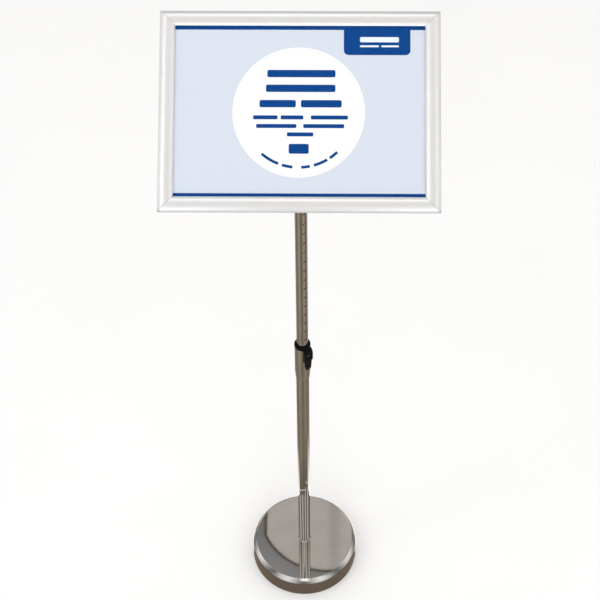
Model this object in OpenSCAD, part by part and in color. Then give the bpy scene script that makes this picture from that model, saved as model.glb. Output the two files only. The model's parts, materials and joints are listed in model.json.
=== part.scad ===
// Floor-standing sign holder: weighted round base, telescopic pole with a notched
// inner tube and a release lever, tilting and turning head, and a landscape snap frame.
// Millimetres, +Z up, the sign faces -Y. Origin: middle of the base, on the floor.

/* [Base] */
// Outer diameter of the base cover
base_d = 230; // [200:1:300]
// Diameter of the flat on top of the cover
flat_d = 212; // [180:1:280]
// Height of the flat above the floor
base_h = 53; // [45:1:70]
// Diameter of the cast weight
weight_d = 212; // [150:1:220]
// Thickness of the cast weight
weight_h = 22; // [15:1:30]

/* [Pole] */
// Outer diameter of the lower tube
outer_tube_d = 25.4; // [25.4:0.1:25.4]
// Outer diameter of the notched upper tube
inner_tube_d = 22.2; // [22.2:0.1:22.2]
// Distance between two height notches
notch_pitch = 25; // [20:1:30]
// Depth of a height notch
notch_depth = 1.1; // [0.8:0.1:1.2]
// Number of height notches
notch_count = 25; // [10:1:25]
// Height of the underside of the clamp ring
clamp_z = 750; // [700:1:800]
// Turn of the lever and the notches from the front of the pole
clamp_turn = 38; // [0:1:90]

/* [Head] */
// Height of the tilt axis, with the pole drawn out
pivot_z = 1359; // [1340:1:1380]
// Lean of the sign from upright
lean = 57; // [40:1:70]

/* [Sign] */
// Outer width of the snap frame
sign_w = 450; // [400:1:500]
// Outer height of the snap frame
sign_h = 327; // [300:1:360]
// Width of the poster
poster_w = 420; // [370:1:470]
// Height of the poster
poster_h = 297; // [270:1:330]

/* [Hidden] */
$fn = 96;
gap = 0.05;          // play between pieces that are fixed together
air = 0.3;           // room between pieces that move past each other
big = 200;           // size of a block that cuts away one side

// base
cover_t = 1.2;
edge_w = (base_d - flat_d) / 2;
edge_tilt = 32;      // tilt of the cover's round shoulder where it leaves the flat, in degrees
edge_r = edge_w / (1 - sin(edge_tilt));
pad_h = 2.5;
plate_t = 1.5;
weight_z = pad_h + plate_t + gap;
boss_r = 24;
screw_ring_r = 80;
foot_bolt_r = 5;
recess_h = 10;

// pole
outer_r = outer_tube_d / 2;
outer_bore = outer_r - 1.1;
inner_r = inner_tube_d / 2;
inner_bore = inner_r - 1.6;
inner_bottom = clamp_z - 100;
inner_top = pivot_z - 29;
lock_z = clamp_z - 17.5;      // height at which the pawl meets the notches
notches_below = 2;            // notches left under the pawl
notch_r = 2.3;
plug_h = 22;

// clamp
sleeve_r = 15;
sleeve_t = 1;
taper_z = clamp_z - 72;
sleeve_end_z = clamp_z - 95;
ring_low = 4.5;               // height of the ring's underside over the end of the lower tube
ring_h = 12;
ring_r = 15.6;
ring_edge = 3.5;
lever_w = 12.5;
cheek = 6.4;                  // room between the lever's two cheeks
pin_rho = 18.6;               // distance of the lever's pin from the pole's axis
pin_z = lock_z + 6.5;
pin_r = 1.5;
housing_w = 18.6;
nose_r = 1.8;
nose_rho = inner_r - notch_depth + 0.15 + nose_r;

// head, measured outwards from the tilt axis along the sign's normal
tongue_w = 10;
tongue_r = 11;
ear_t = 4.5;
ear_r = 12;
ear_x = tongue_w / 2 + 0.9;   // inner face of a fork ear
bolt_r = 3;
flange_r = 22;
flange_n = 14;
flange_t = 5;
stud_r = 5;
bar_n = flange_n + flange_t + 1.5;
bar_t = 2;
bar_w = 40;
bar_wing = 14;
frame_n = 30;                 // back plane of the snap frame
bar_len = sign_h - 12;

// snap frame section: s runs inwards from the outer edge, n runs forwards
rail_w = 25;
web_t = 1.2;
hinge_s = 2.4;
hinge_n = 5;
bead_r = 1.3;
crown_s = 13.1;
crown_n = -5.5;
crown_r = 16.8;
skin_t = 1.3;
lip_n = 4.15;
rib_s = 8.6;
stop_s = (sign_w - poster_w) / 2 - 0.8;
board_t = 2;
paper_t = 0.2;
clear_t = 0.5;
corner_cut = 0.2;             // room at a moving mitre
bead_cut = 5;                 // length by which the hinge bead stops short of the mitre

// ---------- shared shapes ----------

// Points of an arc about c, from angle a0 to a1
function arc(c, r, a0, a1, steps = 10) =
    [for (i = [0 : steps]) c + r * [cos(a0 + (a1 - a0) * i / steps), sin(a0 + (a1 - a0) * i / steps)]];

// Tube or ring between two heights
module ring(r_out, r_in, z_low, z_high) {
    translate([0, 0, z_low]) difference() {
        cylinder(r = r_out, h = z_high - z_low);
        translate([0, 0, -1]) cylinder(r = r_in, h = z_high - z_low + 2);
    }
}

// Hexagonal head or nut of a given width across its flats
module hexagon(flats, h) {
    cylinder(r = flats / sqrt(3), h = h, $fn = 6);
}

// Frame turned so that -Y points from the pole's axis towards the lever
module at_clamp() {
    rotate([0, 0, clamp_turn]) children();
}

// Cylinder that lies along the clamp's X, at a distance from the pole's axis
module cross_rod(r, len, rho, z) {
    translate([0, -rho, z]) rotate([0, 90, 0]) cylinder(r = r, h = len, center = true);
}

// Opening through which the pawl reaches the upper tube
module pawl_window() {
    at_clamp() translate([-5.5, -sleeve_r - 2, lock_z - 3]) cube([11, 9, 6]);
}

// Frame of the sign: X to the right, Y up the sign, Z out of its face, origin on the tilt axis
module on_sign() {
    translate([0, 0, pivot_z]) rotate([90 - lean, 0, 0]) children();
}

// Cylinder along the tilt axis, from x_low to x_high
module axle(r, x_low, x_high) {
    translate([x_low, 0, 0]) rotate([0, 90, 0]) cylinder(r = r, h = x_high - x_low);
}

// ---------- base ----------

// Half section of the cover's outside, drawn smaller by t for the inside
module cover_section(t) {
    middle = [base_d / 2 - edge_r, base_h - edge_r * cos(edge_tilt)];
    start = acos((edge_r * cos(edge_tilt) - t) / (edge_r - t));
    polygon(concat(
        [[0, 0], [base_d / 2 - t, 0]],
        [for (n = [0 : 10]) let (a = 90 - (90 - start) * n / 10) middle + (edge_r - t) * [sin(a), cos(a)]],
        [[0, base_h - t]]
    ));
}

module base_cover() {
    color("silver") difference() {
        rotate_extrude($fn = 180) difference() {
            cover_section(0);
            cover_section(cover_t);
            translate([0, -1]) square([base_d, 2]);
        }
        translate([0, 0, base_h - 5]) cylinder(r = foot_bolt_r + 0.3, h = 10);
    }
}

module cast_weight() {
    color("dimgray") difference() {
        union() {
            translate([0, 0, weight_z]) cylinder(d = weight_d, h = weight_h);
            translate([0, 0, weight_z]) cylinder(r = boss_r, h = base_h - cover_t - weight_z);
        }
        cylinder(r = foot_bolt_r + 0.3, h = base_h);
        cylinder(r = 14, h = weight_z + recess_h);
        for (a = [0 : 120 : 240]) rotate([0, 0, a]) translate([screw_ring_r, 0, 0])
            cylinder(r = 2.05, h = weight_z + 13);
    }
}

module base_plate() {
    color("gray") difference() {
        ring(base_d / 2 - cover_t - gap, 14, pad_h, pad_h + plate_t);
        for (a = [0 : 120 : 240]) rotate([0, 0, a]) translate([screw_ring_r, 0, 0])
            cylinder(r = 4.1, h = 10);
    }
}

module plate_screws() {
    color("lightgray") for (a = [0 : 120 : 240]) rotate([0, 0, a]) translate([screw_ring_r, 0, 0]) {
        translate([0, 0, pad_h + gap]) cylinder(r = 4, h = plate_t);
        translate([0, 0, pad_h + plate_t]) cylinder(r = 2, h = 12);
    }
}

module floor_pad() {
    color("black") cylinder(d = base_d - 6, h = pad_h);
}

module foot_bolt() {
    color("lightgray") {
        translate([0, 0, weight_z + 1]) hexagon(16, 6.5);
        translate([0, 0, weight_z + 5]) cylinder(r = foot_bolt_r, h = base_h + plug_h - weight_z - 8);
    }
}

module foot_washer() {
    color("lightgray") ring(13, foot_bolt_r + 0.2, weight_z + 7.5, weight_z + recess_h);
}

module foot_plug() {
    color("gray") ring(outer_bore - gap, foot_bolt_r + 0.02, base_h, base_h + plug_h);
}

module foot_ring() {
    color("silver") rotate_extrude() translate([outer_r + gap, base_h]) difference() {
        circle(r = 1.6, $fn = 48);
        translate([-5, -5]) square([5, 10]);
        translate([-5, -5]) square([10, 5]);
    }
}

// ---------- pole and clamp ----------

module lower_tube() {
    color("silver") difference() {
        ring(outer_r, outer_bore, base_h, clamp_z);
        pawl_window();
    }
}

module guide_bush() {
    color("whitesmoke") difference() {
        ring(outer_bore, inner_r + 0.06, clamp_z - 47, clamp_z);
        pawl_window();
    }
}

module clamp_liner() {
    color("black") difference() {
        ring(sleeve_r - sleeve_t - gap, outer_r + gap, taper_z, clamp_z + ring_low);
        pawl_window();
    }
}

module clamp_sleeve() {
    color("silver") difference() {
        rotate_extrude() polygon([
            [sleeve_r - sleeve_t, clamp_z + ring_low], [sleeve_r, clamp_z + ring_low], [sleeve_r, taper_z],
            [outer_r + 0.7, sleeve_end_z], [outer_r + gap, sleeve_end_z],
            [outer_r + gap, sleeve_end_z + 4], [sleeve_r - sleeve_t, taper_z]
        ]);
        pawl_window();
    }
}

// Side view of the fork that holds the lever's pin: x runs outwards, y runs up
module fork_side() {
    polygon(concat(
        [[20.4, clamp_z + 2], [ring_r, clamp_z + 7], [12, clamp_z + 7]],
        arc([17, lock_z - 6], 4.2, 180, 355),
        [[21.4, pin_z - 2], [21.6, pin_z + 3]]
    ));
}

// Ring that caps the sleeve, with a fork that carries the lever's pin
module clamp_housing() {
    color("black") union() {
        rotate_extrude() polygon(concat(
            [[inner_r + 0.15, clamp_z + ring_low], [ring_r, clamp_z + ring_low]],
            arc([ring_r - ring_edge, clamp_z + ring_h - ring_edge], ring_edge, 0, 90),
            [[inner_r + 0.15, clamp_z + ring_h]]
        ));
        at_clamp() difference() {
            rotate([90, 0, -90]) linear_extrude(housing_w, center = true) fork_side();
            translate([-lever_w / 2 - air, -big, -1]) cube([lever_w + 2 * air, big, pin_z + 7]);
            cylinder(r = sleeve_r + gap, h = clamp_z + ring_low);
            cross_rod(pin_r, big, pin_rho, pin_z);
        }
    }
}

module lever_pin() {
    color("lightgray") at_clamp() cross_rod(pin_r - 0.02, housing_w - 0.4, pin_rho, pin_z);
}

// Coil on the lever's pin that closes the lever, drawn as its turns
module lever_spring() {
    color("gray") at_clamp() translate([0, -pin_rho, pin_z]) rotate([0, 90, 0])
        for (i = [-3 : 3]) translate([0, 0, i * 0.75])
            rotate_extrude($fn = 32) translate([pin_r + 0.45, 0]) circle(r = 0.3, $fn = 16);
}

// Side view of the lever: x runs outwards from the pole's axis, y runs up
module lever_side() {
    polygon(concat(
        arc([pin_rho, pin_z], 3.1, 170, 50),
        [[22.3, pin_z - 1], [22.8, pin_z - 8], [21.4, pin_z - 30]],
        arc([18.4, pin_z - 38], 2.8, 0, -180)
    ));
}

module release_lever() {
    color("black") at_clamp() difference() {
        intersection() {
            rotate([90, 0, -90]) linear_extrude(lever_w, center = true) lever_side();
            union() {
                translate([-lever_w / 2, -big / 2, pin_z - 36]) cube([lever_w, big, 60]);
                translate([0, 0, pin_z - 36]) rotate([90, 0, 0]) cylinder(d = lever_w, h = big);
            }
        }
        translate([-cheek / 2, -21.2, pin_z - 34]) cube([cheek, 7, 50]);
        cross_rod(pin_r + 0.05, big, pin_rho, pin_z);
        for (dz = [-0.8, 0.3]) cross_rod(1.5, big, pin_rho, lock_z + dz);
        translate([-big / 2, -pin_rho - 1.5, lock_z - 0.8]) cube([big, 3, 1.1]);
    }
}

// Pawl: rounded nose in a notch, stem, and a cross pin that the lever draws outwards
module lock_pawl() {
    color("lightgray") at_clamp() union() {
        cross_rod(nose_r, 9, nose_rho, lock_z);
        translate([-2.5, -pin_rho, lock_z - 1.2]) cube([5, pin_rho - nose_rho, 2.4]);
        cross_rod(1.2, lever_w - 0.5, pin_rho, lock_z);
    }
}

module upper_tube() {
    color("silver") difference() {
        ring(inner_r, inner_bore, inner_bottom, inner_top);
        at_clamp() for (i = [0 : notch_count - 1])
            cross_rod(notch_r, 30, inner_r - notch_depth + notch_r, lock_z + (i - notches_below) * notch_pitch);
    }
}

module tube_glide() {
    color("black") {
        translate([0, 0, inner_bottom - 6]) cylinder(r = outer_bore - 0.08, h = 6);
        translate([0, 0, inner_bottom - 1]) cylinder(r = inner_bore - gap, h = 16);
    }
}

// ---------- head ----------

module tilt_fork() {
    color("dimgray") difference() {
        union() {
            translate([0, 0, inner_top - 30]) cylinder(r = inner_bore - gap, h = 31);
            translate([0, 0, inner_top]) cylinder(r = ear_x + ear_t + 5, h = 5);
            for (x = [-ear_x - ear_t, ear_x]) translate([x, 0, 0]) {
                translate([0, 0, pivot_z]) rotate([0, 90, 0]) cylinder(r = ear_r, h = ear_t);
                translate([0, -ear_r, inner_top + 3]) cube([ear_t, 2 * ear_r, pivot_z - inner_top - 3]);
            }
        }
        translate([0, 0, pivot_z]) axle(bolt_r + 0.05, -50, 50);
    }
}

module tilt_bolt() {
    color("lightgray") translate([0, 0, pivot_z]) {
        axle(bolt_r, -12, 19);
        translate([-ear_x - ear_t - 5.4, 0, 0]) rotate([0, 90, 0]) hexagon(10, 4.1);
    }
}

module tilt_nut() {
    color("lightgray") translate([ear_x + ear_t + 1.3, 0, pivot_z]) rotate([0, 90, 0]) difference() {
        hexagon(10, 6);
        translate([0, 0, -1]) cylinder(r = bolt_r + 0.02, h = 8);
    }
}

module bolt_washers() {
    color("lightgray") for (x = [-ear_x - ear_t - 1.25, ear_x + ear_t + gap])
        translate([x, 0, pivot_z]) rotate([0, 90, 0]) ring(6.5, bolt_r + 0.1, 0, 1.2);
}

module friction_washers() {
    color("whitesmoke") for (x = [-ear_x + gap, tongue_w / 2 + gap])
        translate([x, 0, pivot_z]) rotate([0, 90, 0]) ring(10, bolt_r + 0.1, 0, 0.8);
}

// Tongue between the fork's ears, with the flange and stud on which the sign turns
module tilt_knuckle() {
    color("dimgray") on_sign() difference() {
        union() {
            axle(tongue_r, -tongue_w / 2, tongue_w / 2);
            translate([-tongue_w / 2, -tongue_r, 0]) cube([tongue_w, 2 * tongue_r, flange_n + 1]);
            translate([0, 0, flange_n]) cylinder(r = flange_r, h = flange_t);
            translate([0, 0, flange_n + 1]) cylinder(r = stud_r, h = frame_n - flange_n - 2);
        }
        axle(bolt_r + 0.05, -50, 50);
    }
}

module swivel_washer() {
    color("whitesmoke") on_sign() ring(20, stud_r + 0.1, flange_n + flange_t, bar_n - 0.1);
}

module thrust_washer() {
    color("lightgray") on_sign() ring(10, stud_r + 0.1, bar_n + bar_t + 0.1, bar_n + bar_t + 1.3);
}

module swivel_nut() {
    color("lightgray") on_sign() translate([0, 0, bar_n + bar_t + 1.3]) difference() {
        hexagon(16, 5);
        translate([0, 0, -1]) cylinder(r = stud_r + 0.02, h = 8);
    }
}

// Hat-section bar across the back of the frame
module back_bar() {
    color("silver") on_sign() difference() {
        rotate([90, 0, 0]) linear_extrude(bar_len, center = true) difference() {
            union() {
                translate([-bar_w / 2, bar_n]) square([bar_w, frame_n - bar_n]);
                translate([-bar_w / 2 - bar_wing, frame_n - bar_t]) square([bar_w + 2 * bar_wing, bar_t]);
            }
            translate([-bar_w / 2 + bar_t, bar_n + bar_t]) square([bar_w - 2 * bar_t, 20]);
        }
        cylinder(r = stud_r + 0.06, h = frame_n);
        rivet_places() cylinder(r = 1.65, h = big);
    }
}

// The four places where the bar is riveted to the frame
module rivet_places() {
    for (x = [-1, 1], y = [-1, 1])
        translate([x * (bar_w + bar_wing) / 2, y * (sign_h / 2 - 11.9), 0]) children();
}

module bar_rivets() {
    color("lightgray") on_sign() rivet_places() {
        translate([0, 0, frame_n - bar_t - 1.2]) cylinder(r = 3.2, h = 1.2);
        translate([0, 0, frame_n - bar_t - 0.5]) cylinder(r = 1.6, h = 6);
        translate([0, 0, frame_n + web_t + gap]) cylinder(r = 2.1, h = 2);
    }
}

// ---------- snap frame ----------

// Puts a section, drawn in s and n, along one side of the frame:
// side_turn 0 is the top, 90 the left, 180 the bottom and 270 the right
module along_side(side_turn, len, across) {
    on_sign() translate([0, 0, frame_n]) rotate([0, 0, side_turn]) translate([0, across / 2, 0])
        rotate([90, 0, -90]) linear_extrude(len, center = true) children();
}

// Wedge with 45 degree ends that mitres a side, each end drawn back by cut
module mitre(side_turn, len, across, cut) {
    half = len / 2 - cut;
    on_sign() translate([0, 0, frame_n - 1]) rotate([0, 0, side_turn]) translate([0, across / 2, 0])
        linear_extrude(20) polygon([[-half, 0], [-half + rail_w + 1, -rail_w - 1],
                                    [half - rail_w - 1, -rail_w - 1], [half, 0]]);
}

module base_section() {
    translate([0.1, 0]) square([rail_w - 0.1, web_t]);
    translate([0.1, 0]) square([1.2, hinge_n - 0.8]);
    translate([rib_s, 0]) square([1, 4]);
    translate([stop_s, 0]) square([0.8 - gap, 4]);
    translate([hinge_s, hinge_n]) difference() {
        circle(r = 2.3);
        circle(r = bead_r + 0.05);
        translate([-5, -0.7]) square([10, 10]);
    }
}

module snap_section() {
    difference() {
        translate([crown_s, crown_n]) circle(r = crown_r);
        translate([crown_s, crown_n]) circle(r = crown_r - skin_t);
        translate([-10, -30]) square([hinge_s + 9.6, 60]);
        translate([rail_w, -30]) square([30, 60]);
        translate([0, -30]) square([rail_w, 30]);
    }
    translate([rail_w - skin_t, lip_n]) square([skin_t, 2.4]);
}

module base_rail(side_turn, len, across) {
    color("silver") difference() {
        intersection() {
            along_side(side_turn, len, across) base_section();
            mitre(side_turn, len, across, gap);
        }
        on_sign() rivet_places() cylinder(r = 1.65, h = big);
    }
}

module snap_rail(side_turn, len, across) {
    color("gainsboro") union() {
        intersection() {
            along_side(side_turn, len, across) snap_section();
            mitre(side_turn, len, across, corner_cut);
        }
        along_side(side_turn, len - 2 * bead_cut, across)
            translate([hinge_s, hinge_n]) circle(r = bead_r);
    }
}

module base_rail_top() { base_rail(0, sign_w, sign_h); }
module base_rail_left() { base_rail(90, sign_h, sign_w); }
module base_rail_bottom() { base_rail(180, sign_w, sign_h); }
module base_rail_right() { base_rail(270, sign_h, sign_w); }

module snap_rail_top() { snap_rail(0, sign_w, sign_h); }
module snap_rail_left() { snap_rail(90, sign_h, sign_w); }
module snap_rail_bottom() { snap_rail(180, sign_w, sign_h); }
module snap_rail_right() { snap_rail(270, sign_h, sign_w); }

// L-shaped keys that join the base rails at their mitres
module corner_keys() {
    color("lightgray") on_sign() translate([0, 0, frame_n + web_t + gap])
        for (x = [-1, 1], y = [-1, 1]) translate([x * (sign_w / 2 - 5.2), y * (sign_h / 2 - 5.2), 0]) {
            translate([min(0, -x * 40), min(0, -y * 3.2), 0]) cube([40, 3.2, 1.4]);
            translate([min(0, -x * 3.2), min(0, -y * 40), 0]) cube([3.2, 40, 1.4]);
        }
}

// One bent leaf spring, drawn in s and n
module spring_section() {
    polygon([[5.2, 1.3], [8.4, 1.3], [8.4, 6], [7.4, 7.6], [5.6, 6.7], [5.8, 6.35], [7.25, 7.05],
             [8, 5.85], [8, 1.7], [5.2, 1.7]]);
}

module snap_springs() {
    color("lightgray") for (side_turn = [0 : 90 : 270]) {
        level = side_turn % 180 == 0;
        len = level ? sign_w : sign_h;
        across = level ? sign_h : sign_w;
        for (k = [-1, 0, 1]) if (level || k != 0)
            intersection() {
                along_side(side_turn, len, across) spring_section();
                on_sign() rotate([0, 0, side_turn])
                    translate([k * (len / 2 - 75) - 9, 0, 0]) cube([18, big * 2, big]);
            }
    }
}

// Sheet as large as the poster, between two distances from the frame's back plane
module sheet(n_low, t) {
    on_sign() translate([0, 0, frame_n + n_low + t / 2])
        cube([poster_w - 0.4, poster_h - 0.4, t], center = true);
}

module backboard() { color("white") sheet(web_t + gap, board_t); }
module poster() { color("lightsteelblue") sheet(web_t + board_t + 2 * gap, paper_t); }
module cover_sheet() { color("aliceblue", 0.3) sheet(web_t + board_t + paper_t + 3 * gap, clear_t); }

base_cover();
cast_weight();
base_plate();
plate_screws();
floor_pad();
foot_bolt();
foot_washer();
foot_plug();
foot_ring();
lower_tube();
guide_bush();
clamp_liner();
clamp_sleeve();
clamp_housing();
lever_pin();
lever_spring();
release_lever();
lock_pawl();
upper_tube();
tube_glide();
tilt_fork();
tilt_bolt();
tilt_nut();
bolt_washers();
friction_washers();
tilt_knuckle();
swivel_washer();
thrust_washer();
swivel_nut();
back_bar();
bar_rivets();
base_rail_top();
base_rail_bottom();
base_rail_left();
base_rail_right();
corner_keys();
snap_springs();
backboard();
poster();
cover_sheet();
snap_rail_top();
snap_rail_bottom();
snap_rail_left();
snap_rail_right();
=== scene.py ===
"""Looks of a floor-standing sign holder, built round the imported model.

Sizes in the classes are millimetres and meshes are metres. The sign faces -Y and +Z is up.
"""
import sys

import json
import logging
import math
from dataclasses import dataclass, field
from enum import Enum

import bmesh
import bpy
import numpy as np
from mathutils import Matrix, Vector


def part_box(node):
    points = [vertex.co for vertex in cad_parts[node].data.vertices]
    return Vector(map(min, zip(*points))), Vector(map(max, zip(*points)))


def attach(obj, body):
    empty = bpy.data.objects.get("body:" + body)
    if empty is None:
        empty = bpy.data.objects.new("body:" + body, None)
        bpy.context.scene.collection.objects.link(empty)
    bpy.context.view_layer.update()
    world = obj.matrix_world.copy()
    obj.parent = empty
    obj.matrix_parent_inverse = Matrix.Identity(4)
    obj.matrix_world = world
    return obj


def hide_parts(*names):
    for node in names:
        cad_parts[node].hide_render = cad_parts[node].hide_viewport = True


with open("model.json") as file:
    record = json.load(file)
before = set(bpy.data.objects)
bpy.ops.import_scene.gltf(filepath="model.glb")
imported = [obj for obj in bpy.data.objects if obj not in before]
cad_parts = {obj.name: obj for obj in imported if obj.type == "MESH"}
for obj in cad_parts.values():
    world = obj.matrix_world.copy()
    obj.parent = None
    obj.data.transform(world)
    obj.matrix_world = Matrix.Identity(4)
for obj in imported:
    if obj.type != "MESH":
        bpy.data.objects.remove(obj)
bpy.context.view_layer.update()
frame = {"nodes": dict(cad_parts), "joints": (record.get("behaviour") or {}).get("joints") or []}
MM = 0.001
LOG = logging.getLogger("sign_stand")
MIX_A, MIX_B, MIX_RESULT = 6, 7, 2


# ---------- places ----------


@dataclass(frozen=True)
class Axes:
    """A local frame: an origin in millimetres and three unit directions."""

    origin: tuple[float, float, float]
    x: tuple[float, float, float]
    y: tuple[float, float, float]
    z: tuple[float, float, float]

    def place(self, points: np.ndarray) -> np.ndarray:
        """Moves local points into the row frame: origin + x * X + y * Y + z * Z.

        Args:
            points: local points in millimetres, shape (..., 3).

        Returns:
            The same points in metres, in the row frame.
        """
        return (np.asarray(points) @ np.array([self.x, self.y, self.z]) + np.array(self.origin)) * MM

    def turned(self, degrees: float) -> "Axes":
        """The same frame turned about its own Z.

        Args:
            degrees: turn, anticlockwise seen from +Z.

        Returns:
            The turned frame.
        """
        c, s = math.cos(math.radians(degrees)), math.sin(math.radians(degrees))
        x, y = np.array(self.x), np.array(self.y)
        return Axes(self.origin, tuple(c * x + s * y), tuple(c * y - s * x), self.z)


def joint_facts(name: str) -> tuple[np.ndarray, np.ndarray]:
    """Where a joint of the record is.

    Args:
        name: the joint's name.

    Returns:
        Its place in millimetres and the direction of its axis.
    """
    joint = next(j for j in frame["joints"] if j["name"] == name)
    return np.array(joint["pos_m"], float) / MM, np.array(joint["axis"], float)


def node_heights(name: str) -> tuple[float, float]:
    """Lowest and highest Z of a CAD node.

    Args:
        name: the node's name.

    Returns:
        The two heights in millimetres.
    """
    low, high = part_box(name)
    return low.z / MM, high.z / MM


_lever_place, _lever_axis = joint_facts("lever_pull")
AT_LEVER = Axes((0, 0, 0), tuple(-_lever_axis), tuple(np.cross([0, 0, 1], -_lever_axis)), (0, 0, 1))
_tilt_place, _ = joint_facts("sign_tilt")
_, _facing = joint_facts("sign_turn")
ON_SIGN = Axes(tuple(_tilt_place), (1, 0, 0), tuple(np.cross(_facing, [1, 0, 0])), tuple(_facing))


# ---------- surfaces ----------


def arc(centre: tuple[float, float], radius: float, start: float, end: float, steps: int) -> np.ndarray:
    """Points of a circular arc: centre + radius * (cos a, sin a), with a going evenly from start to end.

    Args:
        centre: centre of the circle.
        radius: its radius.
        start: first angle in degrees.
        end: last angle in degrees.
        steps: number of points.

    Returns:
        Points of shape (steps, 2).
    """
    a = np.radians(np.linspace(start, end, steps))
    return np.array(centre) + radius * np.stack([np.cos(a), np.sin(a)], 1)


def rounded(corners: list[tuple[float, float, float]], steps: int = 5) -> np.ndarray:
    """A closed outline with an arc at each corner that has a radius.

    The arc's centre lies on the corner's bisector at radius / sin(half angle), and its points turn
    evenly from one tangent point to the other.

    Args:
        corners: x, y and radius of each corner, in order round the outline.
        steps: points on each arc.

    Returns:
        Points of shape (n, 2).
    """
    c = np.array(corners, float)
    p, r = c[:, :2], c[:, 2:3]
    a = np.roll(p, 1, 0) - p
    b = np.roll(p, -1, 0) - p
    a /= np.linalg.norm(a, axis=1, keepdims=True)
    b /= np.linalg.norm(b, axis=1, keepdims=True)
    half = 0.5 * np.arccos(np.clip((a * b).sum(1, keepdims=True), -1, 1))
    bend = np.maximum(np.pi - 2 * half, 1e-6)
    reach = r / np.tan(half)
    middle = (a + b) / np.maximum(np.linalg.norm(a + b, axis=1, keepdims=True), 1e-9)
    centre = p + middle * r / np.sin(half)
    share = np.linspace(0, 1, steps)[None, :, None]
    first, last = (p + a * reach - centre)[:, None], (p + b * reach - centre)[:, None]
    wide = bend[:, None]
    turn = (np.sin((1 - share) * wide) * first + np.sin(share * wide) * last) / np.sin(wide)
    points = centre[:, None] + turn
    points[r[:, 0] == 0] = p[r[:, 0] == 0][:, None]
    keep = np.ones(points.shape[:2], bool)
    keep[r[:, 0] == 0, 1:] = False
    return points[keep]


def lengths_round(outline: np.ndarray) -> np.ndarray:
    """Running length round a closed outline, from its first point back to it.

    Args:
        outline: points of shape (n, 2).

    Returns:
        Lengths of shape (n + 1,).
    """
    steps = np.linalg.norm(np.diff(outline, axis=0, append=outline[:1]), axis=1)
    return np.concatenate([[0], np.cumsum(steps)])


class Surface:
    """Collects the closed shells of one piece, each turned outwards, and makes them one mesh object."""

    def __init__(self, name: str) -> None:
        """Starts an empty piece.

        Args:
            name: the piece's name.
        """
        self.name = name
        self.points: list[np.ndarray] = []
        self.faces: list[list[int]] = []
        self.corners: list[np.ndarray] = []
        self.count = 0

    def shell(self, points: np.ndarray, wrap: tuple[bool, bool], caps: bool = False,
              chart: np.ndarray | None = None) -> "Surface":
        """Adds a grid of quads, with a flat cap on its first and last row where it has open ends.

        Args:
            points: grid of row-frame points in metres, shape (rows, columns, 3).
            wrap: whether the last row and the last column join the first.
            caps: whether the first and last rows are closed by a face each.
            chart: flat coordinates of the grid, with one more row or column where it wraps.

        Returns:
            This surface.
        """
        rows, cols = points.shape[:2]
        i, j = np.meshgrid(np.arange(rows if wrap[0] else rows - 1),
                           np.arange(cols if wrap[1] else cols - 1), indexing="ij")
        i, j = i.ravel(), j.ravel()
        ci, cj = np.stack([i, i + 1, i + 1, i], 1), np.stack([j, j, j + 1, j + 1], 1)
        quads = (ci % rows) * cols + cj % cols
        flat = points.reshape(-1, 3)
        if chart is None:
            chart = np.zeros((rows + 1, cols + 1, 2))
        uv = chart[ci, cj]
        ends = [np.arange(cols)[::-1], (rows - 1) * cols + np.arange(cols)] if caps else []
        end_uv = [chart[0, :cols][::-1], chart[rows - 1, :cols]] if caps else []
        a, b, c, d = (flat[quads[:, k]] for k in range(4))
        volume = (a * np.cross(b, c)).sum() + (a * np.cross(c, d)).sum()
        for end in ends:
            e = flat[end]
            volume += (e[0] * np.cross(e[1:-1], e[2:])).sum()
        turn = -1 if volume < 0 else 1
        self.points.append(flat)
        self.faces += (quads[:, ::turn] + self.count).tolist()
        self.corners.append(uv[:, ::turn].reshape(-1, 2))
        for end, place in zip(ends, end_uv):
            self.faces.append((end[::turn] + self.count).tolist())
            self.corners.append(place[::turn])
        self.count += len(flat)
        return self

    def lathe(self, outline: np.ndarray, around: int = 160) -> "Surface":
        """Adds a turned ring: each outline point (r, z) goes to (r cos a, r sin a, z) for a full turn of a.

        Args:
            outline: closed outline of radius and height in millimetres, clear of the axis.
            around: points round the axis.

        Returns:
            This surface.
        """
        a = np.linspace(0, 2 * np.pi, around, endpoint=False)[None]
        r, z = outline[:, :1], outline[:, 1:]
        grid = np.stack([r * np.cos(a), r * np.sin(a), z + 0 * a], 2)
        length = lengths_round(outline)
        turn = np.linspace(0, 2 * np.pi, around + 1) * outline[:, 0].max()
        chart = np.stack(np.broadcast_arrays(turn[None], length[:, None]), 2) * MM
        return self.shell(grid * MM, (True, True), chart=chart)

    def finish(self, sharp: float = 35.0) -> bpy.types.Object:
        """Makes the mesh object, smooth but for edges sharper than an angle.

        Args:
            sharp: that angle, in degrees.

        Returns:
            The object, linked to the scene at the origin.
        """
        mesh = bpy.data.meshes.new(self.name)
        mesh.from_pydata(np.concatenate(self.points).tolist(), [], self.faces)
        layer = mesh.uv_layers.new(name="flat")
        layer.data.foreach_set("uv", np.concatenate(self.corners).astype(np.float32).ravel())
        return to_piece(mesh, self.name, sharp)


def shaded(mesh: bpy.types.Mesh, sharp: float) -> None:
    """Shades a mesh smooth but for edges past an angle.

    Args:
        mesh: the mesh.
        sharp: that angle, in degrees.
    """
    mesh.polygons.foreach_set("use_smooth", np.ones(len(mesh.polygons), bool))
    mesh.set_sharp_from_angle(angle=math.radians(sharp))


def to_piece(mesh: bpy.types.Mesh, name: str, sharp: float = 35.0) -> bpy.types.Object:
    """Shades a mesh smooth up to an angle and links it as an object at the origin.

    Args:
        mesh: the mesh, in row-frame metres.
        name: the object's name.
        sharp: angle in degrees past which an edge stays sharp.

    Returns:
        The object.
    """
    shaded(mesh, sharp)
    mesh.update()
    piece = bpy.data.objects.new(name, mesh)
    bpy.context.scene.collection.objects.link(piece)
    return piece


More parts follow.
